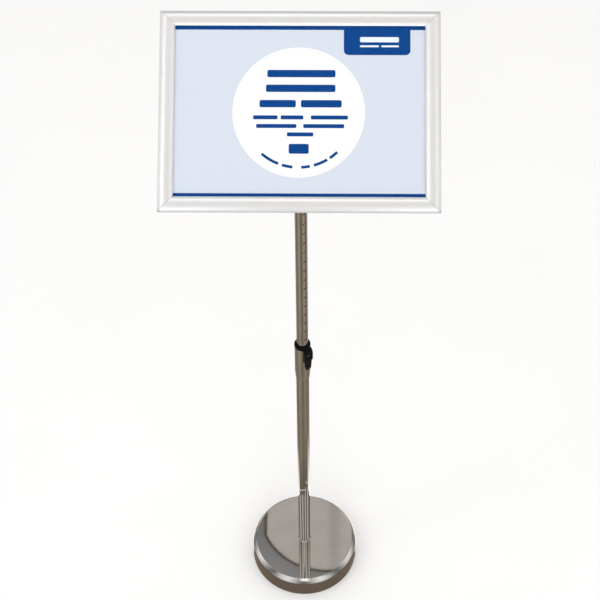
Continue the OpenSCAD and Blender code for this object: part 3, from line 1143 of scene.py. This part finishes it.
@dataclass
class Clamp:
    """Polished sleeve and black ring round the lower tube, with the release lever and its pawl."""

    sleeve_r: float = 15.0
    sleeve_t: float = 1.0
    end_r: float = 13.4
    tube_r: float = 12.75
    ring_r: float = 15.6
    ring_bore: float = 11.25
    ring_edge: float = 3.5
    taper: float = 23.0
    fork_in: float = 6.55
    fork_out: float = 9.3
    lever_half: float = 6.25
    lever_round: float = 1.9
    pin_out: float = 18.6
    cheek_soft: float = 0.7
    seat: tuple[float, float, float] = (14.2, 15.6, 2.4)
    heel: tuple[float, float, float] = (17.0, 12.5, 4.2)
    lever_foot: float = 40.8
    foot_start: float = 36.5

    def sleeve(self) -> bpy.types.Object:
        """Turned sleeve: straight at the top, tapering to the tube at its foot, with the pawl's window.

        Returns:
            The piece.
        """
        low, top = node_heights("clamp_sleeve")
        bend = low + self.taper
        outline = rounded([
            (self.sleeve_r - self.sleeve_t, top, 0.3), (self.sleeve_r, top, 0.4), (self.sleeve_r, bend, 16),
            (self.end_r, low, 0.3), (self.tube_r, low, 0.2), (self.tube_r, low + 4, 0),
            (self.sleeve_r - self.sleeve_t, bend, 0)], 9)
        sleeve = Surface("clamp_sleeve_polished").lathe(outline, 128).finish()
        return carved(sleeve, Pole().window_cutter())

    def cheek(self, side: float, fork: np.ndarray) -> np.ndarray:
        """One cheek of the fork: its outline carried across the cheek's thickness, drawn in near the
        outside by r - sqrt(r^2 - t^2) so that the edge is round.

        Args:
            side: -1 or 1.
            fork: outline of distance from the pole's axis and height.

        Returns:
            Grid of row-frame points.
        """
        inner, outer, soft = self.fork_in, self.fork_out, self.cheek_soft
        t = soft * np.sin(np.linspace(0, np.pi / 2, 5))
        across = np.concatenate([[inner], outer - soft + t])
        inset = np.concatenate([[0], soft - np.sqrt(np.maximum(soft ** 2 - t ** 2, 0))])
        rings = drawn_in(fork, inset)
        grid = np.stack([side * across[:, None] + 0 * rings[..., 0], -rings[..., 0], rings[..., 1]], 2)
        return AT_LEVER.place(grid)

    def housing(self) -> bpy.types.Object:
        """Turned ring with a rounded top edge, and the fork's two cheeks and bridge that hold the lever.

        The fork's outline is its seat on the ring, near and far from the pole, and a round heel.

        Returns:
            The piece.
        """
        bottom, top = node_heights("clamp_sleeve")[1], node_heights("clamp_housing")[1]
        pin = _lever_place[2]
        ring = rounded([(self.ring_bore, bottom, 0.2), (self.ring_r, bottom, 0.4),
                        (self.ring_r, top, self.ring_edge), (self.ring_bore, top, 0.5)], 12)
        near, far, up = self.seat
        heel_out, heel_down, heel_r = self.heel
        shoulder = arc((19.2, pin + 11.8), 1.2, 0, 60, 6)
        fork = np.concatenate([
            shoulder, [(far, bottom + up), (near, bottom + up), (near, pin + 6)],
            arc((heel_out, pin - heel_down), heel_r, 160, 355, 16), [(21.4, pin - 2), (21.6, pin + 3)]])
        bridge = rounded([(20.8, pin + 6.2, 0.4), (20.4, pin + 13, 1.2), (far, bottom + up, 0),
                          (near, bottom + up, 0), (near, pin + 6.2, 0)], 5)
        x = np.array([-self.fork_in - 0.5, self.fork_in + 0.5])[:, None]
        span = np.stack([x + 0 * bridge[:, 0], 0 * x - bridge[:, 0], 0 * x + bridge[:, 1]], 2)
        surface = Surface("clamp_ring_moulded").lathe(ring, 144)
        surface.shell(self.cheek(-1, fork), (False, True), True)
        surface.shell(self.cheek(1, fork), (False, True), True)
        return surface.shell(AT_LEVER.place(span), (False, True), True).finish()

    def lever(self) -> bpy.types.Object:
        """Lever: its side outline carried across its width, drawn in towards both sides by
        r - sqrt(r^2 - t^2), the width shrinking by sqrt(1 - t^2) at the foot; hollow behind its front wall.

        Returns:
            The piece.
        """
        pin = _lever_place[2]
        side = rounded([
            (self.pin_out - 3.1, pin + 1, 1.5), (self.pin_out - 2.2, pin + 3.1, 1.6),
            (self.pin_out + 2.4, pin + 3.1, 2.4), (22.8, pin - 8, 9), (21.3, pin - 31, 9),
            (20.4, pin - self.lever_foot, 2.5), (15.8, pin - self.lever_foot, 2.3)], 9)
        soft, half = self.lever_round, self.lever_half
        t = np.linspace(0, np.pi / 2, 8)
        w = np.concatenate([[0], half - soft + soft * np.sin(t)])
        inset = np.concatenate([[0], soft - soft * np.cos(t)])
        w, inset = np.concatenate([-w[:0:-1], w]), np.concatenate([inset[:0:-1], inset])
        rings = drawn_in(side, inset)
        drop = np.clip((pin - self.foot_start - rings[..., 1]) / half, 0, 0.7)
        shrink = np.sqrt(1 - drop ** 2)
        grid = np.stack([w[:, None] * shrink, -rings[..., 0], rings[..., 1]], 2)
        lever = Surface("release_lever_moulded").shell(AT_LEVER.place(grid), (False, True), True).finish()
        pocket = block(AT_LEVER, (-3.2, -21.0, pin - 34), (3.2, -13, pin + 12))
        cutter = Surface("pocket").shell(pocket, (False, True), True).finish()
        return carved(lever, cutter)

    def build(self, palette: Palette) -> None:
        """Makes and dresses the clamp.

        Args:
            palette: the finishes.
        """
        dress(self.sleeve(), palette.steel, "stand", Slot.STEEL, "clamp_sleeve")
        dress(self.housing(), palette.plastic, "stand", Slot.PLASTIC, "clamp_housing")
        dress(self.lever(), palette.plastic, "lever", Slot.PLASTIC, "release_lever")
        finish_nodes(palette.plastic, "clamp_liner")
        finish_nodes(palette.zinc, "lever_pin", "lock_pawl")
        finish_nodes(palette.spring, "lever_spring")


def drawn_in(outline: np.ndarray, inset: np.ndarray) -> np.ndarray:
    """Copies of a closed outline, each moved inwards by its own distance along the outline's normals.

    Args:
        outline: points of shape (n, 2).
        inset: distances of shape (m,).

    Returns:
        Points of shape (m, n, 2).
    """
    along = np.roll(outline, -1, 0) - np.roll(outline, 1, 0)
    along /= np.linalg.norm(along, axis=1, keepdims=True)
    area = (outline[:, 0] * np.roll(outline[:, 1], -1) - outline[:, 1] * np.roll(outline[:, 0], -1)).sum()
    inwards = np.stack([-along[:, 1], along[:, 0]], 1) * np.sign(area)
    return outline[None] + inset[:, None, None] * inwards[None]


@dataclass
class Head:
    """Fork on the upper tube and the knuckle that tilts in it, with the stud on which the sign turns."""

    edge: float = 0.6
    small_edge: float = 0.25

    def build(self, palette: Palette) -> None:
        """Makes and dresses the head.

        Args:
            palette: the finishes.
        """
        for node, body in (("tilt_fork", "mast"), ("tilt_knuckle", "tilt_head")):
            dress_copy(node, "_painted", self.edge, palette.paint, body, Slot.PAINT)
        for node, body in (("tilt_bolt", "mast"), ("tilt_nut", "mast"), ("bolt_washers", "mast"),
                           ("swivel_nut", "tilt_head"), ("thrust_washer", "tilt_head")):
            dress_copy(node, "_plated", self.small_edge, palette.zinc, body, Slot.ZINC)
        finish_nodes(palette.nylon, "friction_washers", "swivel_washer")


class Side(Enum):
    """Sides of the frame, each with the turn that carries the top side onto it."""

    TOP = 0
    LEFT = 90
    BOTTOM = 180
    RIGHT = 270


@dataclass
class SnapFrame:
    """Four hinged snap rails on base rails, the springs and keys between them, and the bar behind."""

    wide: float = 450.0
    high: float = 327.0
    back: float = 30.0
    rail: float = 25.0
    start: float = 2.0
    crown: tuple[float, float] = (13.1, -5.5)
    crown_r: float = 16.8
    skin: float = 1.3
    lip: float = 4.15
    cut: float = 0.2
    bead: tuple[float, float, float] = (2.4, 5.0, 1.3)
    bead_cut: float = 5.0

    def crown_height(self, s: np.ndarray, radius: float) -> np.ndarray:
        """Height of the crown: centre + sqrt(radius^2 - (s - centre)^2).

        Args:
            s: distance from the outer edge.
            radius: radius of the outside or the inside of the skin.

        Returns:
            Heights above the frame's back.
        """
        return self.crown[1] + np.sqrt(radius ** 2 - (s - self.crown[0]) ** 2)

    def section(self) -> np.ndarray:
        """Section of a snap rail: an arched skin with a lip at its inner edge, with small radii.

        Returns:
            Closed outline of distance from the outer edge and height above the frame's back.
        """
        inner_r, lip_s = self.crown_r - self.skin, self.rail - self.skin
        out = np.linspace(self.start + 0.25, self.rail - 0.5, 29)
        back = np.linspace(lip_s - 0.4, self.start + 0.25, 25)
        first = self.crown_height(np.array([self.start]), inner_r)[0]
        return np.concatenate([
            [(self.start, first + 0.2), (self.start, first + 1.2)],
            np.stack([out, self.crown_height(out, self.crown_r)], 1),
            [(self.rail - 0.12, self.crown_height(np.array([self.rail]), self.crown_r)[0] - 0.05)],
            arc((self.rail - 0.5, self.lip + 0.5), 0.5, 0, -90, 5),
            arc((lip_s + 0.4, self.lip + 0.4), 0.4, 270, 180, 4),
            [(lip_s, self.crown_height(np.array([lip_s]), inner_r)[0] - 0.35)],
            np.stack([back, self.crown_height(back, inner_r)], 1),
        ])

    def snap_rail(self, side: Side) -> bpy.types.Object:
        """One snap rail: each section point (s, n) is carried along the side to x = v * (L / 2 - cut - s),
        with v from -1 to 1, which mitres both ends; and a round hinge bead under its outer edge.

        Args:
            side: which side of the frame.

        Returns:
            The piece.
        """
        level = side in (Side.TOP, Side.BOTTOM)
        length, across = (self.wide, self.high) if level else (self.high, self.wide)
        axes = ON_SIGN.turned(side.value)
        v = np.linspace(-1, 1, 25)[:, None]
        flat = self.section()
        s, n = flat[:, 0], flat[:, 1]
        x = v * (length / 2 - self.cut - s)
        grid = np.stack([x, across / 2 - s + 0 * x, self.back + n + 0 * x], 2)
        around = lengths_round(flat)
        chart = np.stack([np.c_[x, x[:, :1]], around + 0 * np.c_[x, x[:, :1]]], 2) * MM
        name = "snap_rail_" + side.name.lower() + "_satin"
        surface = Surface(name).shell(axes.place(grid), (False, True), True, chart)
        bead_s, bead_n, bead_r = self.bead
        ring = arc((bead_s, bead_n), bead_r, 0, 345, 24)
        reach = np.array([-1, 1])[:, None] * (length / 2 - self.bead_cut)
        x = reach + 0 * ring[:, 0]
        grid = np.stack([x, across / 2 - ring[:, 0] + 0 * x, self.back + ring[:, 1] + 0 * x], 2)
        return surface.shell(axes.place(grid), (False, True), True).finish(30)

    def build(self, palette: Palette) -> None:
        """Makes and dresses the frame.

        Args:
            palette: the finishes.
        """
        for side in Side:
            word = side.name.lower()
            dress(self.snap_rail(side), palette.satin, "snap_" + word, Slot.ALUMINIUM, "snap_rail_" + word)
            dress_copy("base_rail_" + word, "_satin", 0.1, palette.satin_back, "sign", Slot.ALUMINIUM)
        dress_copy("back_bar", "_satin", 0.4, palette.satin_back, "sign", Slot.ALUMINIUM)
        dress_copy("bar_rivets", "_satin", 0.3, palette.zinc, "sign", Slot.ZINC)
        finish_nodes(palette.zinc, "corner_keys")
        finish_nodes(palette.spring, "snap_springs")


@dataclass
class Sheets:
    """Backboard, printed sheet and clear film in the frame."""

    def sheet(self, node: str, name: str) -> bpy.types.Object:
        """A thin sheet over a CAD node's box: a ring of four corners at two levels, closed by its two
        faces, with its flat coordinates in metres from the sheet's middle.

        Args:
            node: the CAD sheet.
            name: the new object's name.

        Returns:
            The piece.
        """
        raw = np.array([v.co for v in frame["nodes"][node].data.vertices])
        local = (raw / MM - np.array(ON_SIGN.origin)) @ np.array([ON_SIGN.x, ON_SIGN.y, ON_SIGN.z]).T
        (x0, y0, z0), (x1, y1, z1) = local.min(0), local.max(0)
        grid = block(ON_SIGN, (x0, y0, z0), (x1, y1, z1))
        ring = np.array([[x0, y0], [x1, y0], [x1, y1], [x0, y1], [x0, y0]]) * MM
        chart = np.stack([ring, ring])
        return Surface(name).shell(grid, (False, True), True, chart).finish()

    def build(self, palette: Palette) -> None:
        """Makes and dresses the sheets.

        Args:
            palette: the finishes.
        """
        dress(self.sheet("poster", "poster_print"), palette.print, "sign", Slot.PAPER, "poster")
        dress(self.sheet("cover_sheet", "cover_sheet_film"), palette.film, "sign", Slot.FILM, "cover_sheet")
        finish_nodes(palette.board, "backboard")


# ---------- studio ----------


@dataclass(frozen=True)
class Lamp:
    """A soft box that points at a spot, with its width and height in metres and its power in watts."""

    name: str
    place: tuple[float, float, float]
    aim: tuple[float, float, float]
    size: tuple[float, float]
    power: float
    colour: tuple[float, float, float]

    def hang(self) -> None:
        """Makes the lamp, unseen by the camera."""
        data = bpy.data.lights.new(self.name, "AREA")
        data.shape, data.size, data.size_y = "RECTANGLE", self.size[0], self.size[1]
        data.energy, data.color = self.power, self.colour
        lamp = bpy.data.objects.new(self.name, data)
        lamp.location = self.place
        away = np.array(self.place) - np.array(self.aim)
        lamp.rotation_euler = (math.atan2(math.hypot(away[0], away[1]), away[2]), 0,
                               math.atan2(away[0], -away[1]))
        lamp.visible_camera = False
        bpy.context.scene.collection.objects.link(lamp)


LAMPS = (
    Lamp("over", (0.0, 1.0, 4.3), (0, 0, 0.5), (1.6, 1.2), 14, (1.0, 0.99, 0.98)),
    Lamp("front", (0.0, -3.2, 1.1), (0, 0, 1.3), (1.8, 1.0), 18, (1.0, 0.99, 0.98)),
    Lamp("left", (-2.0, -0.85, 3.1), (0, 0, 0.3), (0.7, 1.5), 9, (0.96, 0.98, 1.0)),
    Lamp("right", (2.1, -0.6, 3.1), (0, 0, 0.3), (0.7, 1.5), 4, (0.97, 0.985, 1.0)),
)


@dataclass(frozen=True)
class Panels:
    """Bright panels evenly spaced round the stand, with a dark gap behind and in front of it."""

    count: int
    dim: float
    bright: float

    def stops(self) -> tuple[tuple[float, float], ...]:
        """Place, from 0 to 1 round the stand, and brightness of each gap and panel; the count is even.

        Returns:
            The stops, from behind the stand round to behind it again.
        """
        spots = 2 * self.count
        return tuple((k / spots, self.bright if k % 2 else self.dim) for k in range(spots + 1))


@dataclass
class Studio:
    """Pale floor, soft lamps and a camera that looks down at the front of the stand."""

    eye: tuple[float, float, float] = (0.0386, -1.8817, 3.1913)
    yaw: float = -1.28
    down: float = 50.726
    roll: float = 0.707
    lens: float = 97.1
    sensor: float = 36.0
    warm: tuple[float, float, float] = (1.0, 0.88, 0.72)
    cool: tuple[float, float, float] = (0.93, 0.98, 1.02)
    near_tones: Panels = Panels(4, 0.3, 0.45)
    far_tones: Panels = Panels(4, 0.25, 0.6)
    low_tones: Panels = Panels(6, 0.1, 0.5)
    high_tones: Panels = Panels(6, 0.1, 0.6)
    wall_r: float = 1.39
    wall_glow: float = 3.2
    wall_split: tuple[float, float] = (1.08, 1.15)
    lip_r: float = 0.125
    lip_heights: tuple[float, float] = (0.033, 0.046)
    lip_glow: float = 2.9
    lip_shade: tuple[float, float, float] = (0.075, 0.062, 0.048)
    skirt_front: tuple[float, float, float] = (0.24, 0.2, 0.155)
    skirt_behind: tuple[float, float, float] = (1.7, 1.65, 1.6)
    far_out: tuple[float, float, float] = (0.86, 0.85, 0.84)
    card_rise: float = 0.0004
    card_reach: tuple[float, float] = (0.02, 9.0)
    sky_z: float = 3.5
    world_glow: float = 0.9
    floor_half: float = 12.0
    scrim: tuple[float, float, float] = (0.063, 2.198, 0.313)

    def camera(self) -> None:
        """Camera from its yaw, its angle below the horizon and its roll: forward is
        (sin y cos d, cos y cos d, -sin d), and right and down are turned by the roll."""
        y, d, r = (math.radians(a) for a in (self.yaw, self.down, self.roll))
        forward = np.array([math.sin(y) * math.cos(d), math.cos(y) * math.cos(d), -math.sin(d)])
        right = np.array([math.cos(y), -math.sin(y), 0.0])
        below = np.cross(forward, right)
        side = math.cos(r) * right + math.sin(r) * below
        below = math.cos(r) * below - math.sin(r) * right
        data = bpy.data.cameras.new("eye")
        data.lens, data.sensor_width = self.lens, self.sensor
        camera = bpy.data.objects.new("eye", data)
        turn = np.eye(4)
        turn[:3, 0], turn[:3, 1], turn[:3, 2], turn[:3, 3] = side, -below, -forward, self.eye
        camera.matrix_world = Matrix(turn.tolist())
        bpy.context.scene.collection.objects.link(camera)
        bpy.context.scene.camera = camera

    def floor(self) -> None:
        """Wide pale floor with a slow change of tone."""
        x, y = np.meshgrid([-self.floor_half, self.floor_half], [-self.floor_half, self.floor_half])
        grid = np.stack([x, y, 0 * x], 2)
        floor = Surface("studio_floor").shell(grid, (False, False)).finish()
        recipe = Recipe("pale_floor")
        tone = recipe.noise(recipe.coordinates("Object"), 2, 2)
        colour = recipe.tint(recipe.between(tone, 0, 1), (0.95,) * 3, (0.965,) * 3)
        recipe.set(base_color=colour, roughness=0.9, specular_ior_level=0.1)
        floor.data.materials.append(recipe.material)

    def tones(self, recipe: Recipe, along: Field, panels: Panels,
              colour: tuple[float, float, float]) -> bpy.types.NodeSocket:
        """A soft row of tones.

        Args:
            recipe: the card's recipe.
            along: place in the row, from 0 to 1.
            panels: the layout of bright panels and dark gaps.
            colour: tint that multiplies each brightness.

        Returns:
            The colour socket.
        """
        stops = panels.stops()
        ramp = recipe.tree.nodes.new("ShaderNodeValToRGB")
        recipe.feed(ramp.inputs[0], along)
        bar = ramp.color_ramp
        bar.interpolation = "EASE"
        for at, _ in stops[1:-1]:
            bar.elements.new(at)
        for element, (at, value) in zip(bar.elements, stops):
            element.position = at
            element.color = (*(value * c for c in colour), 1)
        return ramp.outputs[0]

    def card(self, name: str, grid: np.ndarray, recipe: Recipe, colour: bpy.types.NodeSocket,
             power: float = 1.0) -> None:
        """A glowing card that only polished metal reflects: it lights nothing and casts no shade.

        Args:
            name: the card's name.
            grid: its points in metres.
            recipe: its material's recipe.
            colour: its glow.
            power: brightness that multiplies the glow.
        """
        card = Surface(name).shell(grid, (False, False)).finish()
        glow = recipe.tree.nodes.new("ShaderNodeEmission")
        recipe.tree.links.new(colour, glow.inputs[0])
        glow.inputs[1].default_value = power
        out = next(n for n in recipe.tree.nodes if n.type == "OUTPUT_MATERIAL")
        recipe.tree.links.new(glow.outputs[0], out.inputs["Surface"])
        card.data.materials.append(recipe.material)
        for flag in ("visible_camera", "visible_diffuse", "visible_transmission", "visible_volume_scatter",
                     "visible_shadow"):
            setattr(card, flag, False)

    def floor_card(self) -> None:
        """Card just over the floor: warm grey, with tones that change round the stand. A skirt close to
        the base is dark in front and bright behind, and far out the card is even."""
        r = np.linspace(*self.card_reach, 12)[:, None]
        a = np.linspace(0, 2 * np.pi, 97)[None]
        grid = np.stack([r * np.cos(a), r * np.sin(a), self.card_rise + 0 * r * a], 2)
        recipe = Recipe("reflected_floor")
        x, y, _ = recipe.places("Object")
        turn = x.share_of_turn(y)
        reach = (x * x + y * y).root()
        near = self.tones(recipe, turn, self.near_tones, self.warm)
        far = self.tones(recipe, turn, self.far_tones, self.warm)
        both = recipe.tint(recipe.between(reach, 0, 1, 0.5, 0.8), near, far)
        behind = recipe.between((turn - 0.5).size(), 0, 1, 0.235, 0.275)
        skirt = recipe.tint(behind, self.skirt_front, self.skirt_behind)
        under = recipe.tint(recipe.between(reach, 0, 1, 0.13, 0.3), skirt, both)
        wide = recipe.tint(recipe.between(reach, 0, 1, 1.5, 2.6), under, self.far_out)
        self.card("studio_floor_card", grid, recipe, wide)

    def wall_card(self) -> None:
        """Part of a ball round the stand, in front and at the sides: the bright and dark shapes of a
        studio, which the rim of the base and the foot of the pole reflect. Behind the stand it drops to a
        low wall. A point of it is (R cos e sin a, -R cos e cos a, R sin e)."""
        a = np.radians(np.linspace(-178, 178, 121))[:, None]
        top = np.radians(75 - 51 * np.clip((np.abs(np.degrees(a)) - 118) / 14, 0, 1))
        e = np.linspace(0.002, 1, 25)[None] * top
        grid = self.wall_r * np.stack([np.cos(e) * np.sin(a), -np.cos(e) * np.cos(a), np.sin(e)], 2)
        recipe = Recipe("reflected_wall")
        x, y, z = recipe.places("Object")
        turn = x.share_of_turn(y)
        wave = recipe.noise(recipe.coordinates("Object"), 2.2, 2)
        low = self.tones(recipe, turn + (wave - 0.5) * 0.05, self.low_tones, self.cool)
        glint = ((turn - 0.503).size() - 0.022).inside(0.02) * recipe.between(z, 0, 1, 0.35, 0.6)
        low = recipe.tint(glint, low, (0.62, 0.63, 0.64))
        high = self.tones(recipe, turn, self.high_tones, self.cool)
        colour = recipe.tint(recipe.between(z + (wave - 0.5) * 0.1, 0, 1, *self.wall_split), low, high)
        self.card("studio_wall_card", grid, recipe, colour, self.wall_glow)

    def lip_card(self) -> None:
        """Low hoop close round the front of the base: the same shapes as the wall, seen below its foot.
        A point of it is (R sin a, -R cos a, z)."""
        a = np.radians(np.linspace(-100, 100, 61))[:, None]
        z = np.linspace(*self.lip_heights, 4)[None]
        grid = np.stack([self.lip_r * np.sin(a) + 0 * z, -self.lip_r * np.cos(a) + 0 * z, z + 0 * a], 2)
        recipe = Recipe("reflected_lip")
        x, y, up = recipe.places("Object")
        wide = (x.share_of_turn(y) - 0.5) * 1.35 + 0.5
        fade = recipe.between(up, 1, 0, 0.035, 0.040)
        shapes = self.tones(recipe, wide, self.low_tones, self.cool)
        colour = recipe.tint(fade, shapes, self.lip_shade)
        self.card("studio_lip_card", grid, recipe, colour, self.lip_glow)

    def sky_card(self) -> None:
        """Card high up behind the stand, which the flat of the base reflects: a broad round scrim with a
        dark rim, in a cooler and darker field."""
        x, y = np.meshgrid(np.linspace(-3, 3, 3), np.linspace(0.9, 5.5, 3))
        grid = np.stack([x, y, self.sky_z + 0 * x], 2)
        recipe = Recipe("reflected_sky")
        px, py, _ = recipe.places("Object")
        dx, dy = px - self.scrim[0], py - self.scrim[1]
        reach = ((dx * dx + dy * dy).root() - self.scrim[2]).at_least((px + 0.225) * -1.0)
        slope = recipe.between(px * 0.5 + py, 0, 1, 1.7, 2.2)
        field_tone = recipe.tint(slope, (0.50, 0.53, 0.56), (0.20, 0.21, 0.215))
        stripe = recipe.between((px - 0.1).size(), 0, 1, 0.01, 0.04)
        scrim = recipe.tint(stripe, (0.68, 0.675, 0.67), (0.80, 0.79, 0.78))
        colour = recipe.tint(reach.inside(0.008), field_tone, scrim)
        colour = recipe.tint((reach.size() - 0.006).inside(0.005), colour, (0.09, 0.065, 0.04))
        self.card("studio_sky_card", grid, recipe, colour)

    def world(self) -> None:
        """Even soft light from all round, a little warm."""
        world = bpy.data.worlds.new("soft_light")
        world.use_nodes = True
        back = world.node_tree.nodes["Background"]
        back.inputs["Color"].default_value = (0.98, 0.97, 0.96, 1)
        back.inputs["Strength"].default_value = self.world_glow
        bpy.context.scene.world = world

    def build(self) -> None:
        """Makes the floor, the light and the camera."""
        self.world()
        self.floor()
        self.floor_card()
        self.sky_card()
        self.wall_card()
        self.lip_card()
        for lamp in LAMPS:
            lamp.hang()
        self.camera()
        scene = bpy.context.scene
        scene.view_settings.view_transform = "Standard"
        scene.view_settings.look = "None"


def main() -> None:
    """Builds the stand piece by piece, then the studio."""
    logging.basicConfig(level=logging.INFO, format="%(message)s", stream=sys.stdout)
    palette = Palette()
    for part in (Base(), Pole(), Clamp(), Head(), SnapFrame(), Sheets()):
        LOG.info("-- %s", type(part).__name__)
        part.build(palette)
    Studio().build()


if __name__ == "__main__":
    main()
